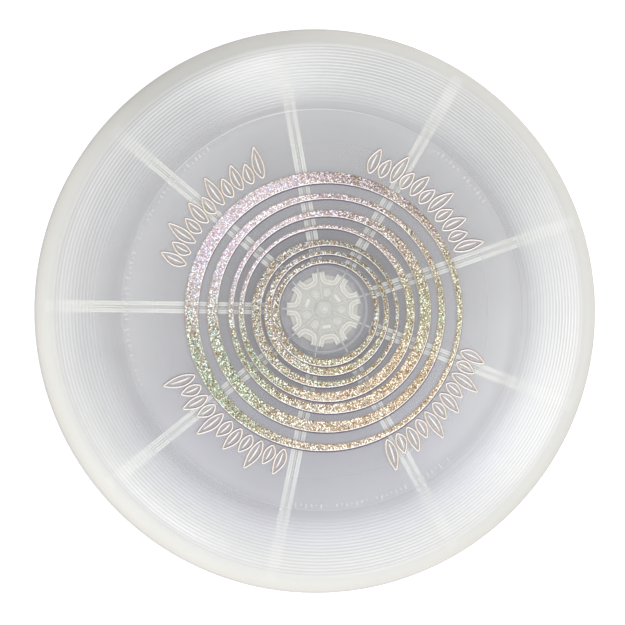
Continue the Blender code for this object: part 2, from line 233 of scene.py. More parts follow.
def under_z(r):
    line = lower_line()
    for (r_out, z_out), (r_in, z_in) in zip(line, line[1:]):
        if r_in <= r <= r_out:
            return z_in + (r - r_in) / (r_out - r_in) * (z_out - z_in)
    return RIM_INSIDE_Z


# ---- mesh making ----


class Shape:
    """Points in mm and faces, gathered from several closed bodies, for one piece."""

    def __init__(self):
        self.points = []
        self.faces = []
        self.shades = []

    def add(self, points, faces, shades=None):
        base = len(self.points)
        self.points += [tuple(p) for p in points]
        self.faces += [tuple(base + i for i in face) for face in faces]
        self.shades += shades if shades else [0.5] * len(points)

    def strip(self, rows, closed_rows=False, shades=None):
        """Skins rows of equal length, each a closed section, and caps the ends of open rows."""
        width = len(rows[0])
        faces = []
        count = len(rows)
        for i in range(count if closed_rows else count - 1):
            j = (i + 1) % count
            for k in range(width):
                n = (k + 1) % width
                faces.append((i * width + k, i * width + n, j * width + n, j * width + k))
        if not closed_rows:
            faces.append(tuple(range(width)))
            faces.append(tuple((count - 1) * width + k for k in range(width)))
        self.add([p for row in rows for p in row], faces, shades)

    def turned(self, section, sides, centre=(0, 0), shade=0.5):
        """A section of (r, z) turned about the vertical. It is a loop, or runs from axis to axis."""
        rows = []
        for i in range(sides):
            angle = 2 * math.pi * i / sides
            c, s = math.cos(angle), math.sin(angle)
            rows.append([(centre[0] + r * c, centre[1] + r * s, z) for r, z in section])
        self.strip(rows, closed_rows=True, shades=[shade] * sides * len(section))

    def prism(self, outline, low, high, shade=0.5):
        count = len(outline)
        points = [(p[0], p[1], low) for p in outline] + [(p[0], p[1], high) for p in outline]
        faces = [(i, (i + 1) % count, count + (i + 1) % count, count + i) for i in range(count)]
        faces += [tuple(range(count))[::-1], tuple(range(count, 2 * count))]
        self.add(points, faces, [shade] * len(points))

    def mesh(self, name):
        """The mesh in metres, with its faces turned outward."""
        mesh = bpy.data.meshes.new(name)
        mesh.from_pydata([(x * MM, y * MM, z * MM) for x, y, z in self.points], [], self.faces)
        shade = mesh.attributes.new("shade", "FLOAT", "POINT")
        shade.data.foreach_set("value", self.shades)
        work = bmesh.new()
        work.from_mesh(mesh)
        bmesh.ops.remove_doubles(work, verts=work.verts, dist=1e-7)
        bmesh.ops.recalc_face_normals(work, faces=work.faces)
        work.to_mesh(mesh)
        work.free()
        return mesh

    def piece(self, name, material, body, replaces=(), smooth=40):
        """Makes the object and lets it ride on its body."""
        mesh = self.mesh(name)
        mesh.shade_smooth()
        mesh.set_sharp_from_angle(angle=math.radians(smooth))
        mesh.materials.append(material)
        thing = bpy.data.objects.new(name, mesh)
        bpy.context.scene.collection.objects.link(thing)
        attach(thing, body)
        if replaces:
            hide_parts(*replaces)
        return thing


# ---- materials ----


class Look:
    """A node material with short ways to add and join nodes."""

    def __init__(self, name, roughness=0.5, metallic=0.0):
        self.material = bpy.data.materials.new(name)
        self.material.use_nodes = True
        self.tree = self.material.node_tree
        self.shader = self.tree.nodes["Principled BSDF"]
        self.put(self.shader.inputs["Roughness"], roughness)
        self.put(self.shader.inputs["Metallic"], metallic)
        self.place = self.node("ShaderNodeTexCoord").outputs["Object"]

    def put(self, socket, value):
        if isinstance(value, bpy.types.NodeSocket):
            self.tree.links.new(value, socket)
        else:
            socket.default_value = value

    def node(self, kind, inputs=None, **settings):
        made = self.tree.nodes.new(kind)
        for key, value in settings.items():
            setattr(made, key, value)
        for key, value in (inputs or {}).items():
            self.put(made.inputs[key], value)
        return made

    def set(self, name, value):
        self.put(self.shader.inputs[name], value)

    def math(self, operation, a, b=0.0, clamp=False):
        made = self.node("ShaderNodeMath", {0: a, 1: b}, operation=operation, use_clamp=clamp)
        return made.outputs[0]

    def times(self, a, b):
        return self.math("MULTIPLY", a, b)

    def minus(self, a, b):
        return self.math("SUBTRACT", a, b)

    def mottle(self, noise, low, high):
        return self.ramp(noise, [(0.3, low), (0.7, high)])

    def ramp(self, value, stops, smooth=True):
        """A colour ramp through (position, grey or colour) stops."""
        made = self.node("ShaderNodeValToRGB", {"Fac": value})
        ramp = made.color_ramp
        ramp.interpolation = "EASE" if smooth else "CONSTANT"
        while len(ramp.elements) < len(stops):
            ramp.elements.new(1.0)
        for element, (position, colour) in zip(ramp.elements, stops):
            element.position = position
            if isinstance(colour, (int, float)):
                colour = (colour,) * 3
            element.color = (*colour, 1.0)
        return made.outputs["Color"]

    def blend(self, share, a, b, kind="MIX"):
        made = self.node("ShaderNodeMix", data_type="RGBA", blend_type=kind, clamp_result=False)
        self.put(made.inputs["Factor"], share)
        for name, value in (("A", a), ("B", b)):
            socket = [s for s in made.inputs if s.name == name and s.type == "RGBA"][0]
            if isinstance(value, tuple):
                value = (*value, 1.0)
            self.put(socket, value)
        return [s for s in made.outputs if s.type == "RGBA"][0]

    def noise(self, scale, detail=3.0, place=None):
        inputs = {"Vector": place or self.place, "Scale": scale, "Detail": detail}
        return self.node("ShaderNodeTexNoise", inputs).outputs["Fac"]

    def radius(self, full=DISC_R):
        """Distance from the axis, as a share of full in mm."""
        flat = self.node(
            "ShaderNodeVectorMath", {0: self.place, 1: (1, 1, 0)}, operation="MULTIPLY"
        )
        length = self.node("ShaderNodeVectorMath", {0: flat.outputs[0]}, operation="LENGTH")
        return self.math("DIVIDE", length.outputs["Value"], full * MM)

    def azimuth(self, start=0.0):
        """Share of a turn round the axis, counter-clockwise from start degrees."""
        parts = self.node("ShaderNodeSeparateXYZ", {0: self.place})
        angle = self.math("ARCTAN2", parts.outputs["Y"], parts.outputs["X"])
        share = self.math("DIVIDE", angle, 2 * math.pi)
        return self.math("FRACT", self.math("ADD", share, 1.0 - start / 360))

    def from_spoke(self):
        """Distance, in mm, from the middle of the nearest spoke."""
        turn = self.math("FRACT", self.times(self.azimuth(FIRST_SPOKE - SPOKE_STEP / 2), SPOKES))
        angle = self.times(self.minus(turn, 0.5), math.radians(SPOKE_STEP))
        across = self.times(self.math("SINE", angle), self.radius(1.0))
        return self.math("ABSOLUTE", across)

    def from_rib(self):
        """Distance, in mm, from the middle line of the nearest spoke rib."""
        return self.math("ABSOLUTE", self.minus(self.from_spoke(), RIB_OFFSET))

    def hub_side_light(self):
        """How much denser the spokes are made near the hub, on the +X and +Y sides only: painted
        light there.
        """
        side = self.ramp(self.azimuth(), [(0.29, 0.4), (0.34, 0.0), (0.9, 0.0), (0.94, 0.4)])
        close = self.ramp(self.radius(), [(0.16, 0.0), (0.19, 1.0), (0.30, 0.0)])
        return self.times(side, close)

    def tint(self, share, colour, by):
        return self.blend(share, colour, by, "MULTIPLY")

    def bump(self, height, strength, distance):
        made = self.node(
            "ShaderNodeBump", {"Height": height, "Strength": strength, "Distance": distance * MM}
        )
        self.set("Normal", made.outputs[0])


RIB_TURNS = 2 * math.pi * DISC_R / FLIGHT_RIB_PITCH

# The lists named _TURN change a look round the disc: each stop stands at a share of a turn from the
# +X side, counter-clockwise. Much of this change is painted light and shade, carried by the
# materials.

# How dense the milkiness is made round the disc: painted light and shade, carried by the alpha
MILK_LIGHT_TURN = [
    (0.0, 0.75),
    (0.1, 0.65),
    (0.2, 0.85),
    (0.25, 0.95),
    (0.35, 0.55),
    (0.5, 0.45),
    (0.6, 0.55),
    (0.8, 0.9),
    (0.9, 0.95),
    (1.0, 0.75),
]
# Its tint, slightly cool on the -Y side: a painted colour cast of the light there
TINT_LIGHT_TURN = [
    (0.5, (1.0, 1.0, 1.0)),
    (0.65, (0.98, 0.98, 1.03)),
    (0.85, (0.98, 0.98, 1.03)),
    (1.0, (1.0, 1.0, 1.0)),
]
# How pale the rim is round the disc: painted light and shade, darkest a third of a turn from +X
RIM_SHADE_TURN = [
    (0.0, 1.0),
    (0.2, 0.9),
    (0.33, 0.75),
    (0.45, 0.95),
    (0.55, 1.0),
    (0.8, 0.95),
    (1.0, 1.0),
]
# How strongly the grooves between the flight ribs show round the disc: painted shade that follows the
# lighting
GROOVE_SHADE_TURN = [
    (0.05, 0.1),
    (0.12, 0.9),
    (0.22, 1.0),
    (0.28, 0.4),
    (0.35, 0.9),
    (0.5, 0.55),
    (0.65, 0.4),
    (0.8, 0.7),
    (0.95, 0.05),
]
# How pale the spokes' ends look: across a spoke in cm from its middle, along it, round the disc. The
# change round the disc is painted light.
SPOKE_BAND = [(0.15, 1.0), (0.42, 0.0)]
SPOKE_REACH = [(0.76, 0.0), (0.88, 1.0), (0.94, 0.5), (0.97, 0.0)]
SPOKE_LIGHT_TURN = [
    (0.0, 0.4),
    (0.1, 0.8),
    (0.27, 0.0),
    (0.5, 0.5),
    (0.65, 0.3),
    (0.8, 0.2),
    (1.0, 0.4),
]


def milky_look():
    """Translucent moulding: thin and greyish at the middle, denser and creamier at the rim."""
    look = Look("milky_plastic", roughness=0.3)
    r = look.radius()
    turn = look.azimuth()
    colour = look.ramp(
        r,
        [
            (0.115, (0.64, 0.64, 0.62)),
            (0.14, (0.52, 0.52, 0.55)),
            (0.22, (0.44, 0.44, 0.47)),
            (0.30, (0.53, 0.53, 0.56)),
            (0.44, (0.60, 0.60, 0.63)),
            (0.52, (0.66, 0.66, 0.68)),
            (0.70, (0.72, 0.72, 0.73)),
            (0.80, (0.94, 0.94, 0.94)),
            (0.91, (0.96, 0.96, 0.95)),
            # From here to the edge the colour darkens: painted shade on the steep outer face of the
            # rim
            (0.97, (0.79, 0.78, 0.73)),
            (0.985, (0.75, 0.73, 0.66)),
            (1.0, (0.54, 0.52, 0.52)),
        ],
    )
    # The grooves between the flight ribs are coloured darker than their crests: partly the thinner
    # plastic there, partly painted shade in the grooves, which varies round the disc
    turns = look.times(look.minus(r, FLIGHT_RIB_FIRST_R / DISC_R), RIB_TURNS)
    groove = look.minus(1.0, look.math("COSINE", turns))
    share = look.ramp(r, [(0.72, 0.0), (0.77, 0.10), (0.84, 0.16), (0.92, 0.15), (0.935, 0.0)])
    share = look.times(share, look.ramp(turn, GROOVE_SHADE_TURN))
    shade = look.minus(1.0, look.times(groove, share))
    colour = look.tint(1.0, colour, shade)
    # Painted shade on the rim, darker on some sides round the disc
    rim_shade_zone = look.ramp(r, [(0.90, 0.0), (0.95, 1.0)])
    colour = look.tint(rim_shade_zone, colour, look.ramp(turn, RIM_SHADE_TURN))
    cloud = look.noise(22.0, 4.0)
    colour = look.blend(0.05, colour, look.mottle(cloud, 0.5, 1.0))
    # Painted colour cast: a cool tint on the -Y side of the middle zone
    tint_light_zone = look.ramp(r, [(0.30, 0.0), (0.40, 1.0), (0.76, 1.0), (0.88, 0.0)])
    colour = look.tint(tint_light_zone, colour, look.ramp(turn, TINT_LIGHT_TURN))
    # The fine raised line inside the shoulder catches the light: a painted highlight, stronger on
    # some sides round the disc
    from_line = look.math("ABSOLUTE", look.minus(r, SHOULDER_LINE_R / DISC_R))
    line_highlight = look.ramp(look.times(from_line, DISC_R), [(0.05, 1.0), (0.35, 0.0)])
    highlight_turn = look.ramp(turn, [(0.0, 0.08), (0.16, 0.15), (0.24, 0.42), (0.36, 0.48), (0.45, 0.12)])
    line_highlight = look.times(line_highlight, highlight_turn)
    colour = look.blend(line_highlight, colour, (1.0, 1.0, 1.0))
    # The spokes end as soft pale bands in the denser shoulder; how pale they are round the disc is
    # painted light
    on_spoke = look.ramp(look.math("DIVIDE", look.from_spoke(), 10.0), SPOKE_BAND)
    on_spoke = look.times(on_spoke, look.ramp(r, SPOKE_REACH))
    on_spoke = look.times(on_spoke, look.ramp(turn, SPOKE_LIGHT_TURN))
    look.set("Base Color", look.blend(on_spoke, colour, (1.0, 1.0, 0.98)))
    alpha = look.ramp(
        r,
        [
            (0.24, 0.22),
            (0.47, 0.30),
            (0.70, 0.38),
            (0.76, 0.55),
            (0.84, 0.69),
            (0.92, 0.72),
            (0.97, 0.93),
            (1.0, 1.0),
        ],
    )
    # Painted light and shade: the shoulder's alpha is raised or lowered round the disc
    milk_light_zone = look.ramp(r, [(0.66, 0.0), (0.74, 1.0), (0.82, 0.95), (0.92, 0.45), (0.955, 0.0)])
    alpha = look.tint(milk_light_zone, alpha, look.ramp(turn, MILK_LIGHT_TURN))
    alpha = look.math("ADD", alpha, look.times(line_highlight, 0.25), clamp=True)
    alpha = look.math("ADD", alpha, look.times(on_spoke, 0.04), clamp=True)
    look.set("Alpha", alpha)
    fine = look.times(look.minus(look.noise(60.0, 5.0), 0.5), 0.16)
    satin = look.ramp(r, [(0.90, 0.23), (0.935, 0.60)])
    look.set("Roughness", look.math("ADD", satin, fine))
    look.bump(look.noise(40.0, 2.0), 0.02, 0.1)
    look.set("IOR", 1.5)
    return look.material


def rib_look():
    """The spoke ribs: paler and greener than the plate, brightest along each rib's edges."""
    look = Look("rib_plastic", roughness=0.6)
    fine = look.noise(90.0, 4.0)
    colour = look.mottle(fine, (0.92, 0.93, 0.86), (0.97, 0.975, 0.91))
    edge = look.math("DIVIDE", look.from_rib(), RIB_WIDTH / 2, clamp=True)
    colour = look.tint(1.0, colour, look.ramp(edge, [(0.1, 0.82), (0.6, 1.0)]))
    inner = look.ramp(look.radius(), [(0.25, 0.94), (0.6, 1.0)])
    look.set("Base Color", look.tint(1.0, colour, inner))
    alpha = look.ramp(look.radius(), [(0.2, 0.78), (0.4, 0.96), (0.6, 0.96), (0.72, 0.76)])
    # Painted light: the ribs are made denser near the hub on two sides only
    alpha = look.math("ADD", alpha, look.hub_side_light(), clamp=True)
    look.set("Alpha", look.minus(alpha, look.times(fine, 0.08)))
    look.bump(fine, 0.05, 0.05)
    return look.material


def mark_look():
    """Faint raised marks on the plate."""
    look = Look("mark_plastic", roughness=0.3)
    fine = look.noise(300.0, 3.0)
    look.set("Base Color", look.mottle(fine, (0.88, 0.88, 0.88), (0.96, 0.96, 0.96)))
    look.set("Alpha", look.mottle(fine, 0.18, 0.28))
    look.bump(fine, 0.05, 0.05)
    return look.material


def fibre_look():
    """Clear light fibre, fainter over the hub."""
    look = Look("light_fibre", roughness=0.4)
    fine = look.noise(120.0, 2.0)
    look.set("Base Color", look.mottle(fine, (0.93, 0.94, 0.88), (0.98, 0.98, 0.93)))
    alpha = look.ramp(look.radius(), [(0.115, 0.32), (0.16, 0.55), (0.3, 1.0)])
    # Painted light: the fibres are made denser near the hub on two sides only
    alpha = look.math("ADD", alpha, look.hub_side_light(), clamp=True)
    look.set("Alpha", look.minus(alpha, look.times(fine, 0.06)))
    look.set("Roughness", look.mottle(fine, 0.34, 0.48))
    return look.material


def moulded_look(name, light, dark, roughness, grain=140.0, bump=0.12):
    """Opaque moulded plastic or rubber: soft mottling, fine grain, uneven gloss."""
    look = Look(name, roughness)
    cloud = look.noise(grain / 4, 4.0)
    look.set("Base Color", look.mottle(cloud, dark, light))
    fine = look.noise(grain * 6, 3.0)
    look.set("Roughness", look.mottle(fine, roughness - 0.08, roughness + 0.08))
    look.bump(fine, bump, 0.08)
    return look.material


def painted_light_wall_look():
    """Hub walls, with painted light along their ridges and painted shade down their flanks and in the
    valley between.
    """
    look = Look("hub_wall", roughness=0.4)
    shade = look.node("ShaderNodeAttribute", attribute_name="shade").outputs["Fac"]
    fine = look.noise(300.0, 3.0)
    shade = look.math("ADD", shade, look.times(look.minus(fine, 0.5), 0.2))
    look.set("Base Color", look.ramp(shade, [(0.1, (0.57, 0.57, 0.54)), (0.8, (0.93, 0.90, 0.82))]))
    look.set("Roughness", look.mottle(fine, 0.34, 0.46))
    look.bump(fine, 0.08, 0.05)
    return look.material


def housing_look():
    """White plastic below; greyer inside the lip and round the outside, where the disc shades it."""
    look = Look("housing_plastic", roughness=0.45)
    grain = look.noise(35.0, 4.0)
    white = look.mottle(grain, (0.76, 0.76, 0.73), (0.82, 0.82, 0.79))
    grey = look.ramp(
        look.radius(21.0),
        [
            (0.0, (0.39, 0.39, 0.42)),
            (0.94, (0.39, 0.39, 0.42)),
            (0.955, (0.36, 0.36, 0.385)),
            (0.975, (0.36, 0.36, 0.385)),
            (0.99, (0.40, 0.40, 0.42)),
        ],
    )
    height = look.node("ShaderNodeSeparateXYZ", {0: look.place}).outputs["Z"]
    above = look.math("GREATER_THAN", height, (HUB_LOW - 0.6) * MM)
    outside = look.math("GREATER_THAN", look.radius(1.0), 20.2)
    look.set("Base Color", look.blend(look.math("MAXIMUM", above, outside), white, grey))
    fine = look.noise(840.0, 3.0)
    look.set("Roughness", look.mottle(fine, 0.37, 0.53))
    look.bump(fine, 0.12, 0.08)
    return look.material


def lamp_look():
    """Frosted clear plastic, palest over the LED."""
    look = Look("lamp_clear", roughness=0.5)
    rings = look.ramp(
        look.radius(5.0),
        [
            (0.0, (0.84, 0.83, 0.78)),
            (0.16, (0.80, 0.79, 0.745)),
            (0.24, (0.58, 0.58, 0.545)),
            (0.31, (0.78, 0.77, 0.725)),
            (0.40, (0.59, 0.59, 0.555)),
            (1.0, (0.585, 0.585, 0.545)),
        ],
    )
    fine = look.noise(300.0, 3.0)
    look.set("Base Color", look.blend(0.06, rings, look.mottle(fine, 0.4, 1.0)))
    look.set("Roughness", look.mottle(fine, 0.5, 0.62))
    look.bump(fine, 0.1, 0.05)
    return look.material


def metal_look(name, light, dark, roughness):
    """Brushed or plated metal with fine drawn lines."""
    look = Look(name, roughness, metallic=1.0)
    stretch = look.node(
        "ShaderNodeVectorMath", {0: look.place, 1: (1.0, 12.0, 1.0)}, operation="MULTIPLY"
    )
    lines = look.noise(260.0, 3.0, stretch.outputs[0])
    look.set("Base Color", look.mottle(lines, dark, light))
    look.set("Roughness", look.mottle(lines, roughness - 0.06, roughness + 0.1))
    look.bump(lines, 0.1, 0.05)
    return look.material


def board_look():
    look = Look("board_green", roughness=0.35)
    grid = look.node(
        "ShaderNodeTexBrick",
        {"Vector": look.place, "Scale": 260.0, "Mortar Size": 0.03},
    )
    look.put(grid.inputs["Color1"], (0.03, 0.20, 0.09, 1))
    look.put(grid.inputs["Color2"], (0.04, 0.24, 0.11, 1))
    look.put(grid.inputs["Mortar"], (0.10, 0.36, 0.18, 1))
    look.set("Base Color", grid.outputs["Color"])
    look.bump(grid.outputs["Fac"], 0.2, 0.05)
    return look.material


FLAKE = 2050.0  # flakes per metre in the foil's pattern
FOIL_GLINT = (3.2, 3.2, 3.0)  # brighter than any real surface, so that small flakes look lit
# Mean colour of the foil round the disc: painted reflection, the brightness and tint the light gives
# the holographic foil on each side
FOIL_REFLECTION_TURN = [
    (0.0, (0.45, 0.5, 0.45)),
    (0.1, (0.5, 0.5, 0.5)),
    (0.2, (0.5, 0.5, 0.55)),
    (0.33, (0.8, 0.8, 0.8)),
    (0.42, (0.8, 0.75, 0.8)),
    (0.6, (0.45, 0.5, 0.45)),
    (0.75, (0.65, 0.6, 0.6)),
    (0.9, (0.5, 0.45, 0.4)),
    (1.0, (0.45, 0.5, 0.45)),
]
# Colour of the foil's bright flakes round the disc: painted reflection of the holographic foil
FLAKE_REFLECTION_TURN = [
    (0.0, (0.75, 0.9, 0.7)),
    (0.15, (0.9, 0.75, 0.8)),
    (0.27, (0.95, 0.7, 0.85)),
    (0.4, (0.75, 0.7, 0.95)),
    (0.5, (0.6, 0.85, 1.0)),
    (0.6, (0.6, 0.95, 0.8)),
    (0.72, (0.95, 0.9, 0.65)),
    (0.83, (1.0, 0.8, 0.8)),
    (0.92, (0.9, 0.85, 0.6)),
]
# How soft and pastel the foil looks round the disc: painted reflection that turns the foil pale and
# even on one side
SOFT_REFLECTION_TURN = [(0.0, 0.0), (0.2, 0.1), (0.33, 1.0), (0.45, 0.9), (0.55, 0.1), (0.7, 0.0)]
# The three inner rings are golden all round: their mean colour, how it drifts round the disc as
# painted light and shade, their bright flakes
FOIL_CORE = (0.48, 0.475, 0.48)
CORE_LIGHT_TURN = [
    (0.0, (0.85, 0.85, 0.9)),
    (0.15, (0.65, 0.65, 0.65)),
    (0.3, (0.9, 0.9, 1.0)),
    (0.6, (1.05, 1.05, 1.15)),
    (0.8, (1.0, 1.0, 0.9)),
    (1.0, (0.85, 0.85, 0.9)),
]
CORE_FLAKES = [
    (0.0, (1.0, 0.78, 0.38)),
    (0.40, (1.0, 0.86, 0.45)),
    (0.52, (0.52, 1.0, 0.70)),
    (0.75, (0.50, 0.88, 1.0)),
    (1.0, (1.0, 0.66, 0.74)),
]


def foil_look():
    """Holographic glitter foil: tan with coloured flakes and painted glints; its main colour drifts
    round the disc as painted reflection.
    """
    look = Look("glitter_foil", roughness=0.38, metallic=0.2)
    flakes = look.node("ShaderNodeTexVoronoi", {"Vector": look.place, "Scale": FLAKE})
    parts = look.node("ShaderNodeSeparateColor", {0: flakes.outputs["Color"]})
    pick, second, bright = (parts.outputs[i] for i in range(3))
    turn = look.azimuth()
    in_core = look.ramp(look.radius(), [(0.258, 0.9), (0.282, 0.0)])
    soft = look.times(look.ramp(turn, SOFT_REFLECTION_TURN), look.minus(1.0, in_core))
    gold = look.ramp(
        second,
        [(0.0, (0.42, 0.26, 0.10)), (0.4, (0.60, 0.42, 0.20)), (1.0, (0.80, 0.68, 0.48))],
    )
    peach = look.ramp(
        second,
        [(0.0, (0.52, 0.40, 0.31)), (0.4, (0.66, 0.53, 0.48)), (1.0, (0.70, 0.62, 0.68))],
    )
    base = look.blend(soft, gold, peach)
    # Where the foil is soft, its white and its dark flakes are both weaker
    contrast = look.minus(1.0, look.times(soft, 0.5))
    spread = look.times(look.minus(second, 0.5), 0.36)
    flake = look.ramp(look.math("FRACT", look.math("ADD", turn, spread)), FLAKE_REFLECTION_TURN)
    flake = look.blend(in_core, flake, look.ramp(second, CORE_FLAKES))
    colour = look.blend(look.ramp(pick, [(0.0, 0.0), (0.52, 0.85)], smooth=False), base, flake)
    # White flakes are painted glints, lifted past white by FOIL_GLINT
    white = look.ramp(bright, [(0.0, 0.0), (0.80, 0.95)], smooth=False)
    white = look.times(white, contrast)
    colour = look.blend(white, colour, look.blend(0.45, flake, FOIL_GLINT))
    dark = look.ramp(bright, [(0.0, 0.85), (0.20, 0.0)], smooth=False)
    dark = look.times(dark, contrast)
    colour = look.blend(dark, colour, (0.24, 0.14, 0.05))
    # Painted reflection: the foil's mean colour changes round the disc, for the core rings and the
    # outer ones
    core = look.tint(1.0, FOIL_CORE, look.ramp(turn, CORE_LIGHT_TURN))
    mean = look.blend(in_core, look.ramp(turn, FOIL_REFLECTION_TURN), core)
    colour = look.tint(1.0, colour, mean)
    # The ribs below show a little in the outer rings
    over_rib = look.math("LESS_THAN", look.from_rib(), RIB_WIDTH / 2)
    paler = look.times(over_rib, look.ramp(look.radius(), [(0.3, 0.0), (0.4, 0.12)]))
    look.set("Base Color", look.blend(paler, colour, (0.78, 0.79, 0.74)))
    look.set("Roughness", look.ramp(second, [(0.0, 0.3), (1.0, 0.5)]))
    look.bump(flakes.outputs["Distance"], 0.25, 0.1)
    return look.material


def painted_edge_look():
    """Pressed edge of the foil, from a dark painted shadow step to a painted highlight."""
    look = Look("foil_edge", roughness=0.4)
    shade = look.node("ShaderNodeAttribute", attribute_name="shade").outputs["Fac"]
    grain = look.noise(900.0, 2.0)
    mixed = look.math("ADD", shade, look.times(look.minus(grain, 0.5), 0.25))
    colour = look.ramp(
        mixed,
        [
            (0.0, (0.10, 0.085, 0.12)),
            (0.35, (0.38, 0.30, 0.22)),
            (0.6, (0.68, 0.60, 0.52)),
            (0.8, (0.97, 0.94, 0.95)),
        ],
    )
    look.set("Base Color", colour)
    look.bump(grain, 0.1, 0.05)
    return look.material


def floor_look():
    """Pale floor: it glows white outside the disc's footprint, painted light that hides the disc's
    shadow there, and only faintly under the disc; seen only from above.
    """
    look = Look("floor_white", roughness=0.9)
    look.set("Base Color", (0.38, 0.38, 0.40, 1))
    # Painted light: the floor's glow is strong outside the footprint and faint under the disc
    glow = look.ramp(
        look.radius(200.0), [(0.0, 0.02), (0.15, 0.03), (0.4, 0.1), (0.64, 0.12), (0.665, 1.0)]
    )
    look.set("Emission Color", glow)
    look.set("Emission Strength", 0.85)
    below = look.node("ShaderNodeNewGeometry").outputs["Backfacing"]
    clear = look.node("ShaderNodeBsdfTransparent").outputs[0]
    mixed = look.node("ShaderNodeMixShader", {0: below, 1: look.shader.outputs[0], 2: clear})
    output = look.tree.nodes["Material Output"]
    look.put(output.inputs["Surface"], mixed.outputs[0])
    return look.material


# ---- pieces: disc ----


def disc_shell(material):
    shape = Shape()
    shape.turned(upper_line() + rim_line() + lower_line(), SIDES)
    return shape.piece(
        "disc_shell", material, "disc", ["disc_body"], smooth=60
    )


def spoke_ribs(material):
    """The nine pairs of ribs under the plate, each with a rounded lower edge."""
    shape = Shape()
    places = spaced(RIB_IN_R, RIB_FINE_R, 20) + spaced(RIB_FINE_R, RIB_OUT_R, 8) + [RIB_OUT_R]
    half = RIB_WIDTH / 2
    section = [(-half, 0.3), (-half, -1.0), (-half + 0.25, -RIB_DEPTH)]
    section += [(-s, z) for s, z in reversed(section)]
    for degrees in spoke_angles():
        for side in (-1, 1):
            rows = []
            for r in places:
                z = under_z(min(r, RIM_INSIDE_R - 0.7))
                row = []
                for across, drop in section:
                    p = turned_point(Vector((r, side * RIB_OFFSET + across)), degrees)
                    row.append((p.x, p.y, z + drop))
                rows.append(row)
            shape.strip(rows)
    return shape.piece("spoke_ribs", material, "disc", ["disc_body"])


MARK_R = 92.3
MARK_GROUPS = ((34.0, 58.0), (126.0, 204.0), (262.0, 312.0))
MARK_PITCH = 1.5
MARK_WIDTH = 0.75
MARK_LENGTHS = (2.2, 1.2, 2.2, 1.6, 0.8)
MARK_EVERY = 8  # every eighth mark is left out


def raised_marks(material):
    """Faint moulded dashes on the plate, in three groups with gaps."""
    shape = Shape()
    for start, end in MARK_GROUPS:
        for i in range(int((end - start) / MARK_PITCH)):
            if i % MARK_EVERY == MARK_EVERY - 1:
                continue
            degrees = start + i * MARK_PITCH
            length = MARK_LENGTHS[i % len(MARK_LENGTHS)]
            corners = [(0, -1), (length, -1), (length, 1), (0, 1)]
            outline = [
                turned_point(Vector((MARK_R + out, side * MARK_WIDTH / 2)), degrees)
                for out, side in corners
            ]
            z = top_z(MARK_R + length)
            shape.prism(outline, z - 0.2, z + 0.3)
    return shape.piece("raised_marks", material, "disc", ["disc_body"])


# ---- pieces: foil print ----

# Each ring lies between two circles: (x, y, radius) inside, then outside
FOIL_RINGS = [
    ((1.1, -1.0, 22.7), (0.6, -1.8, 25.3)),
    ((1.6, -1.1, 26.8), (1.2, -1.9, 29.6)),
    ((1.9, -2.0, 32.1), (0.5, -2.0, 35.0)),
    ((0.5, -0.5, 38.7), (1.3, -1.9, 41.8)),
    ((1.4, -0.5, 44.4), (2.9, -1.1, 48.2)),
    ((2.2, -0.4, 52.6), (1.3, -1.6, 56.6)),
    ((2.2, -2.0, 61.7), (0.3, -0.9, 66.1)),
]
FOIL_LIFT, FOIL_FOOT = 0.07, 0.02
BEAD_LIFT, SHADOW_STEP_LIFT = 0.14, 0.05
FOIL_SIDES = 300
EDGE_WIDTH = 0.55
# Edges that face this way get a painted highlight, edges that face away painted shade
PAINTED_LIGHT_SIDE = Vector((0.25, -0.97))  # edges that face this way are the bright ones


def on_top(point, lift):
    return (point.x, point.y, top_z(point.length) + lift)


def circle_point(circle, angle, grow=0.0):
    x, y, r = circle
    return Vector((x + (r + grow) * math.cos(angle), y + (r + grow) * math.sin(angle)))


def foil_ring(name, inner, outer, material):
    shape = Shape()
    rows = []
    for i in range(FOIL_SIDES):
        angle = 2 * math.pi * i / FOIL_SIDES
        a, b = circle_point(inner, angle), circle_point(outer, angle)
        across = [a.lerp(b, t / 4) for t in range(5)]
        row = [on_top(p, FOIL_LIFT) for p in across]
        row += [on_top(p, FOIL_FOOT) for p in (b, a)]
        rows.append(row)
    shape.strip(rows, closed_rows=True)
    return shape.piece(name, material, "disc")


def low_ridge(start, end, lift):
    """A three-point section on the top face, highest in its middle."""
    return [on_top(start, 0), on_top(start.lerp(end, 0.5), lift), on_top(end, 0)]


def foil_edges(material):
    """A fine bead on each ring's edges, with a painted highlight where it faces the light side and
    painted shade where it faces away, and beyond it a dark painted shadow step.
    """
    shape = Shape()
    for inner, outer in FOIL_RINGS:
        for circle, side in ((inner, -1), (outer, 1)):
            bead, bead_light_shades, step, shadow_step_shades = [], [], [], []
            for i in range(FOIL_SIDES):
                angle = 2 * math.pi * i / FOIL_SIDES
                facing = side * Vector((math.cos(angle), math.sin(angle))).dot(PAINTED_LIGHT_SIDE)
                lit = max(facing, 0.0)
                start = circle_point(circle, angle)
                end = circle_point(circle, angle, -side * EDGE_WIDTH * (0.45 + 0.55 * lit))
                bead.append(low_ridge(start, end, BEAD_LIFT))
                bead_light_shades += [0.45 + 0.75 * facing] * 3
                start = circle_point(circle, angle, side * 0.02)
                end = circle_point(circle, angle, side * (0.2 + 0.42 * lit))
                step.append(low_ridge(start, end, SHADOW_STEP_LIFT))
                # Painted shadow: the step is darkest where the bead beside it has its painted
                # highlight
                shadow_step_shades += [0.35 * (1 - lit)] * 3
            shape.strip(bead, closed_rows=True, shades=bead_light_shades)
            shape.strip(step, closed_rows=True, shades=shadow_step_shades)
    return shape.piece("foil_edges", material, "disc", smooth=70)


LINE_WIDTH = 1.1
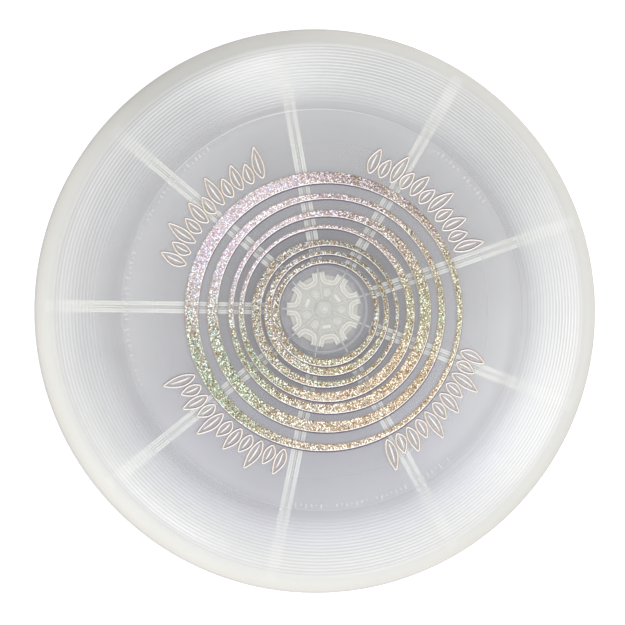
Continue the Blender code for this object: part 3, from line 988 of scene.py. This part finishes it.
# A raised line's section: distance from its middle as a share of its width, and height
LINE_ACROSS = ((-0.5, 0.0), (-0.22, 0.1), (0.0, 0.12), (0.22, 0.1), (0.5, 0.0))
VEIN_ACROSS = ((-1.0, 0.0, 0.15), (-0.4, 0.1, 0.6), (0.1, 0.12, 0.85), (1.0, 0.0, 0.35))
VEIN_WIDTH = 1.2
VEIN_STEPS = 12

MOTIF_ANGLES = (48.0, 138.5, 230.5, 319.5)
MOTIF_SPAN = 47.0
MOTIF_R = 68.3
LEAF_POINTS = 48
LEAF_SLANT = -0.14
LEAF_LENGTHS = (15.5, 10.0, 13.0, 10.0)
LEAF_WIDTH = 5.0
LEAVES = 11


def ribbon(shape, line, width=LINE_WIDTH):
    """A closed raised line on the top face, with a painted highlight on the sides that face the light
    side and painted shade on the sides away from it.
    """
    count = len(line)
    rows, shades = [], []
    for i, point in enumerate(line):
        ahead = line[(i + 1) % count] - line[i - 1]
        side = Vector((-ahead.y, ahead.x)).normalized()
        facing = side.dot(PAINTED_LIGHT_SIDE)
        rows.append([on_top(point + side * width * across, lift) for across, lift in LINE_ACROSS])
        # Painted highlight on the side facing the light side, painted shade on the other
        shades += [0.25, 0.5 - 0.5 * facing, 0.76, 0.5 + 0.5 * facing, 0.25]
    shape.strip(rows, closed_rows=True, shades=shades)


def leaf_point(degrees, length, along, across):
    """A point of a slanted leaf whose foot stands on the circle of radius MOTIF_R."""
    x = length * along
    y = across + LEAF_SLANT * x + 0.5 * math.sin(math.pi * along)
    return turned_point(Vector((MOTIF_R + x, y)), degrees)


def leaf(degrees, length):
    """A leaf's outline, pointed at both ends."""
    line = []
    for i in range(LEAF_POINTS):
        turn = 2 * (i + 0.5) / LEAF_POINTS
        side, along = (1, turn) if turn < 1 else (-1, 2 - turn)
        half = LEAF_WIDTH / 2 * math.sin(math.pi * along) ** 0.8 * (1.2 - 0.45 * along)
        line.append(leaf_point(degrees, length, along, side * half))
    return line


def vein(shape, degrees, length):
    """A narrow foil vein up the middle of a leaf."""
    rows, shades = [], []
    for i in range(VEIN_STEPS + 1):
        t = i / VEIN_STEPS
        half = VEIN_WIDTH / 2 * math.sin(math.pi * (0.06 + 0.86 * t)) ** 0.6
        row = []
        for across, lift, shade in VEIN_ACROSS:
            row.append(on_top(leaf_point(degrees, length, 0.16 + 0.6 * t, half * across), lift))
            shades.append(shade)
        rows.append(row)
    shape.strip(rows, shades=shades)


def foil_motifs(material):
    """Four garlands of outlined leaves, in repeating lengths, each leaf with its vein."""
    for k, middle in enumerate(MOTIF_ANGLES, 1):
        shape = Shape()
        for i in range(LEAVES):
            degrees = middle - MOTIF_SPAN / 2 + MOTIF_SPAN * i / (LEAVES - 1)
            length = LEAF_LENGTHS[i % len(LEAF_LENGTHS)]
            ribbon(shape, leaf(degrees, length))
            vein(shape, degrees, length)
        shape.piece(f"foil_motif_{k}", material, "disc", smooth=70)


# ---- pieces: fibre hub ----


def wall_line():
    half = math.radians(SPOKE_STEP / 2)
    along = Vector((math.cos(half), math.sin(half)))
    across = Vector((math.sin(half), -math.cos(half)))
    tip = along * WALL_END + across * WALL_OFFSET
    reach = (WALL_BOTTOM - WALL_OFFSET * across.x) / along.x
    corner = along * reach + across * WALL_OFFSET
    tangent = WALL_BEND_R * math.tan((math.pi / 2 - half) / 2)
    enter, leave = corner + along * tangent, corner - Vector((0, tangent))
    steps = [i / 8 for i in range(9)]
    bend = [(1 - t) ** 2 * enter + 2 * t * (1 - t) * corner + t**2 * leave for t in steps]
    half_line = [tip] + bend
    return half_line + [Vector((p.x, -p.y)) for p in reversed(half_line)]


# Half of a wall's section: distance from its middle, height below its top, and how pale it looks:
# painted light on the ridge tops, painted shade down the flanks and in the valley
WALL_SECTION = (
    (1.25, 1.5, 0.35),
    (1.22, 0.35, 0.5),
    (1.08, 0.08, 0.8),
    (0.85, 0.0, 1.0),
    (0.62, 0.06, 0.8),
    (0.42, 0.2, 0.4),
    (0.2, 0.24, 0.3),
)


def hub_walls(material):
    """Nine U-shaped walls, each a double ridge."""
    shape = Shape()
    section = [(-across, WALL_TOP - drop, shade) for across, drop, shade in WALL_SECTION]
    section += [(-across, z, shade) for across, z, shade in reversed(section)]
    line = wall_line()
    for degrees in sector_angles():
        rows, shades = [], []
        for i, point in enumerate(line):
            ahead = line[min(i + 1, len(line) - 1)] - line[max(i - 1, 0)]
            side = Vector((-ahead.y, ahead.x)).normalized()
            row = []
            for across, z, shade in section:
                p = turned_point(point + side * across, degrees)
                row.append((p.x, p.y, z))
                shades.append(shade)
            rows.append(row)
        shape.strip(rows, shades=shades)
    return shape.piece("hub_walls", material, "disc", ["fibre_hub"])


def hub_plate(material):
    shape = Shape()
    section = [(HUB_BORE_R, HUB_LOW), (HUB_R - 0.2, HUB_LOW), (HUB_R, HUB_LOW + 0.2)]
    section += [(HUB_R, HUB_TOP - 0.2), (HUB_R - 0.2, HUB_TOP), (HUB_BORE_R, HUB_TOP)]
    shape.turned(section, 144)
    return shape.piece("hub_plate", material, "disc", ["fibre_hub"])


def hub_star(material):
    """The raised middle of the hub, bounded by the walls, with the fibre channels as its points."""
    outline = []
    for degrees in sector_angles():
        outline += [turned_point(p, degrees) for p in reversed(wall_line())]
    shape = Shape()
    shape.prism(outline, HUB_TOP - 0.2, HUB_TOP + 0.2)
    return shape.piece("hub_star", material, "disc", ["fibre_hub"])


def hub_features(material):
    """Three key bars and six heat-staked pegs."""
    shape = Shape()
    low, high = HUB_TOP, HUB_TOP + 0.35
    for i, degrees in enumerate(sector_angles()):
        middle = around(PEG_PLACE_R, degrees)
        if i % KEY_EVERY:
            section = [(0, low), (PEG_R, low), (PEG_R, high + 0.2), (PEG_R - 0.6, high + 0.6)]
            section += [(0, high + 0.6)]
            shape.turned(section, 40, middle, PEG_SHADE)
            continue
        half_x, half_y = KEY_SIZE[0] / 2, KEY_SIZE[1] / 2
        outline = []
        for q in range(KEY_POINTS):
            a = 2 * math.pi * q / KEY_POINTS
            x = half_x * math.cos(a)
            y = half_x * math.sin(a) + math.copysign(half_y - half_x, math.sin(a + 0.01))
            outline.append(turned_point(Vector((PEG_PLACE_R + x, y)), degrees))
        shape.prism(outline, low, high + 0.1, KEY_SHADE)
    return shape.piece("hub_features", material, "disc", ["fibre_hub"])


# ---- pieces: module ----


def housing_shell(material):
    low, high = node_low("module_housing"), node_high("module_housing")
    out, inside, lip = HOUSING_OUT_R, HOUSING_IN_R, HOUSING_LIP_R
    top, ceiling = HUB_LOW - 0.3, HOUSING_CEILING_Z
    section = [
        (HOUSING_BORE_R, ceiling),
        (inside - 0.5, ceiling),
        (inside, ceiling - 0.5),
        (inside, low),
        (out - 0.3, low),
        (out, low + 0.3),
        (out, high - 0.15),
        (out - 0.15, high),
        (lip, high),
        (lip, top),
        (HOUSING_BORE_R, top),
    ]
    shape = Shape()
    shape.turned(section, 144)
    for degrees in boss_angles():
        ring = [(BOSS_BORE_R, low), (BOSS_R, low)]
        ring += [(BOSS_R, ceiling + 0.2), (BOSS_BORE_R, ceiling + 0.2)]
        shape.turned(ring, 32, around(BOSS_PLACE_R, degrees))
    return shape.piece(
        "housing_shell", material, "disc", ["module_housing"], smooth=35
    )


def cover_plate(material):
    """The battery cover, with a raised guard ring round the button and a knurled edge."""
    low, high = node_low("battery_cover"), node_high("battery_cover")
    shape = Shape()
    rows = []
    sides = KNURLS * KNURL_STEPS
    for i in range(sides):
        angle = 2 * math.pi * i / sides
        notch = KNURL_DEPTH * max(0.0, math.cos(2 * math.pi * i / KNURL_STEPS)) ** 2
        c, s = math.cos(angle), math.sin(angle)
        section = [
            (COVER_HOLE_R, low + 0.1),
            (6.1, low - 0.35),
            (7.2, low - 0.35),
            (7.6, low),
            (20.6, low),
            (21.3 - notch, low + 0.6),
            (21.4 - notch, high),
            (COVER_FACE_R, high),
            (COVER_FACE_R, COVER_STEP_Z),
            (COVER_IN_R, COVER_STEP_Z),
            (COVER_IN_R, high),
            (COVER_HOLE_R, high),
        ]
        rows.append([(r * c, r * s, z) for r, z in section])
    shape.strip(rows, closed_rows=True)
    cover = shape.piece("cover_plate", material, "cover", ["battery_cover"])
    sinks = Shape()
    section = [(0, low - 1), (SINK_R, low - 1), (SINK_R, SINK_Z), (BOSS_BORE_R, SINK_Z)]
    section += [(BOSS_BORE_R, high + 1), (0, high + 1)]
    for degrees in boss_angles():
        sinks.turned(section, 36, around(BOSS_PLACE_R, degrees))
    cutter = bpy.data.objects.new("sinks", sinks.mesh("sinks"))
    bpy.context.scene.collection.objects.link(cutter)
    hole = cover.modifiers.new("Sinks", "BOOLEAN")
    hole.object, hole.operation, hole.solver = cutter, "DIFFERENCE", "EXACT"
    bpy.context.view_layer.objects.active = cover
    bpy.ops.object.modifier_apply(modifier=hole.name)
    bpy.data.objects.remove(cutter)
    return cover


def button_pad(material):
    """Rubber button with a dished face and fine rings."""
    low, high = node_low("push_button"), node_high("push_button")
    section = [(0, low + 0.45)]
    for i in range(1, 5):
        r = 0.85 * i
        section += [(r - 0.25, low + 0.42 - 0.03 * i), (r, low + 0.3 - 0.03 * i)]
        section += [(r + 0.25, low + 0.42 - 0.03 * i)]
    section += [(4.2, low + 0.05), (4.9, low), (5.4, low + 0.2), (5.7, low + 0.7)]
    section += [(5.7, 17.5), (8.6, 17.5), (8.6, high), (0, high)]
    shape = Shape()
    shape.turned(section, 96)
    return shape.piece("button_pad", material, "button", ["push_button"])


def lamp_cap(material):
    """Domed cap over the LED, with a ring that faces the fibres."""
    low, high = node_low("light_coupler"), node_high("light_coupler")
    section = [(0, low + 0.3), (1.85, low + 0.3), (1.85, low), (4.2, low), (4.2, high - 0.4)]
    section += [(3.9, high - 0.1), (3.6, high), (2.2, high), (1.9, high - 0.25)]
    section += [(1.7, high - 0.25), (1.2, high - 0.05), (0, high)]
    shape = Shape()
    shape.turned(section, 72)
    return shape.piece("lamp_cap", material, "disc", ["light_coupler"])


def dome_spring(material):
    """Thin snap dome under the board, drawn in its rest shape; the real dome flattens against the
    board as the button is pressed.
    """
    low, high = node_low("snap_dome"), node_high("snap_dome")
    section = [(0, low), (1.6, low + 0.04), (3.0, low + 0.16), (4.2, high - DOME_LEAF)]
    section += [(4.2, high), (3.0, low + 0.16 + DOME_LEAF), (1.6, low + 0.04 + DOME_LEAF)]
    section += [(0, low + DOME_LEAF)]
    shape = Shape()
    shape.turned(section, 48)
    dome = shape.piece("dome_spring", material, "disc", ["snap_dome"], smooth=60)
    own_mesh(dome)


# ---- stage ----


FLOOR_HALF, FLOOR_DROP = 6.0, 0.0002  # metres, as are the places and sizes of the lights
WORLD_COLOUR, WORLD_STRENGTH = (0.97, 0.98, 1.0, 1), 0.36
# Name, place, size and power in watts
STUDIO_LIGHTS = (
    ("right", (1.05, -0.32, 1.85), (0.9, 0.9), 16),
    ("left", (-1.0, -1.45, 1.25), (0.9, 0.8), 19),
    ("back", (-0.25, 1.50, 1.60), (0.5, 0.4), 12),
    ("top", (0.0, 0.0, 2.3), (1.4, 1.4), 8),
)


def stage():
    """The floor, the even light of the room and the studio lights."""
    mesh = bpy.data.meshes.new("floor")
    corners = [(x * FLOOR_HALF, y * FLOOR_HALF, 0) for x, y in ((-1, -1), (1, -1), (1, 1), (-1, 1))]
    mesh.from_pydata(corners, [], [(0, 1, 2, 3)])
    mesh.materials.append(floor_look())
    floor = bpy.data.objects.new("floor", mesh)
    floor.location.z = -FLOOR_DROP
    bpy.context.scene.collection.objects.link(floor)

    world = bpy.data.worlds.new("studio")
    world.use_nodes = True
    background = world.node_tree.nodes["Background"]
    background.inputs["Color"].default_value = WORLD_COLOUR
    background.inputs["Strength"].default_value = WORLD_STRENGTH
    bpy.context.scene.world = world
    bpy.context.scene.view_settings.view_transform = "Standard"

    for light in STUDIO_LIGHTS:
        area(*light)


def area(name, place, size, power):
    """A rectangular soft light that faces the disc."""
    data = bpy.data.lights.new(name, "AREA")
    data.shape = "RECTANGLE"
    data.size, data.size_y = size
    data.energy = power
    lamp = bpy.data.objects.new(name, data)
    lamp.location = place
    lamp.rotation_euler = (-Vector(place)).to_track_quat("-Z", "Y").to_euler()
    bpy.context.scene.collection.objects.link(lamp)


CAMERA_TILT = 6.35  # degrees from straight down
CAMERA_TURN = 10.8
CAMERA_DISTANCE = 0.937
CAMERA_AIM = (0, 0, 0.02)
CAMERA_LENS, CAMERA_SENSOR = 113.0, 36
CAMERA_SHIFT = (-0.0149, -0.0044)


def camera():
    """The camera, almost straight above the disc."""
    data = bpy.data.cameras.new("camera")
    data.lens = CAMERA_LENS
    data.sensor_width = CAMERA_SENSOR
    data.shift_x, data.shift_y = CAMERA_SHIFT
    eye = bpy.data.objects.new("camera", data)
    tilt, turn = math.radians(CAMERA_TILT), math.radians(CAMERA_TURN)
    towards = Vector(
        (math.cos(turn) * math.sin(tilt), math.sin(turn) * math.sin(tilt), -math.cos(tilt))
    )
    eye.location = Vector(CAMERA_AIM) - towards * CAMERA_DISTANCE
    right = towards.cross(Vector((0, 1, 0))).normalized()
    up = right.cross(towards)
    eye.rotation_euler = Matrix((right, up, -towards)).transposed().to_euler()
    bpy.context.scene.collection.objects.link(eye)
    bpy.context.scene.camera = eye


# ---- everything together ----


def wear(material, *nodes):
    """Gives CAD parts that stay as they are this look."""
    for node in nodes:
        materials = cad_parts[node].data.materials
        materials.clear()
        materials.append(material)


def build():
    """The shared looks, the drawn pieces, and the looks of the CAD parts that stay as they are."""
    cream = moulded_look("cream_plastic", (0.61, 0.59, 0.54), (0.57, 0.55, 0.50), 0.4)
    star = moulded_look("hub_grey", (0.585, 0.585, 0.54), (0.55, 0.55, 0.505), 0.45)
    bright = painted_light_wall_look()
    white = moulded_look("white_plastic", (0.82, 0.82, 0.79), (0.76, 0.76, 0.73), 0.45)
    rubber = moulded_look("button_rubber", (0.62, 0.62, 0.60), (0.54, 0.54, 0.52), 0.7, 200, 0.3)
    black = moulded_look("chip_black", (0.035, 0.035, 0.035), (0.02, 0.02, 0.02), 0.5, 300)
    ceramic = moulded_look("ceramic_dark", (0.07, 0.07, 0.08), (0.04, 0.04, 0.05), 0.4, 300)
    steel = metal_look("steel", (0.76, 0.76, 0.75), (0.62, 0.62, 0.62), 0.24)
    cap = lamp_look()
    foil = foil_look()
    edge = painted_edge_look()

    disc_shell(milky_look())
    spoke_ribs(rib_look())
    raised_marks(mark_look())
    for i, (inner, outer) in enumerate(FOIL_RINGS, 1):
        foil_ring(f"foil_ring_{i}", inner, outer, foil)
    foil_edges(edge)
    foil_motifs(edge)
    hub_plate(cream)
    hub_star(star)
    hub_walls(bright)
    hub_features(bright)
    housing_shell(housing_look())
    cover_plate(white)
    button_pad(rubber)
    lamp_cap(cap)
    dome_spring(steel)

    wear(fibre_look(), *(f"light_fibre_{i}" for i in range(1, SPOKES + 1)))
    wear(steel, *(f"cover_screw_{i}" for i in (1, 2, 3)))
    wear(steel, "coin_cell_upper", "coin_cell_lower", "contact_spring")
    wear(cap, "led")
    wear(board_look(), "circuit_board")
    wear(black, "controller_chip")
    wear(ceramic, "resistor")
    wear(white, "cell_ring")
    wear(rubber, "cover_seal")
    stage()
    camera()


build()
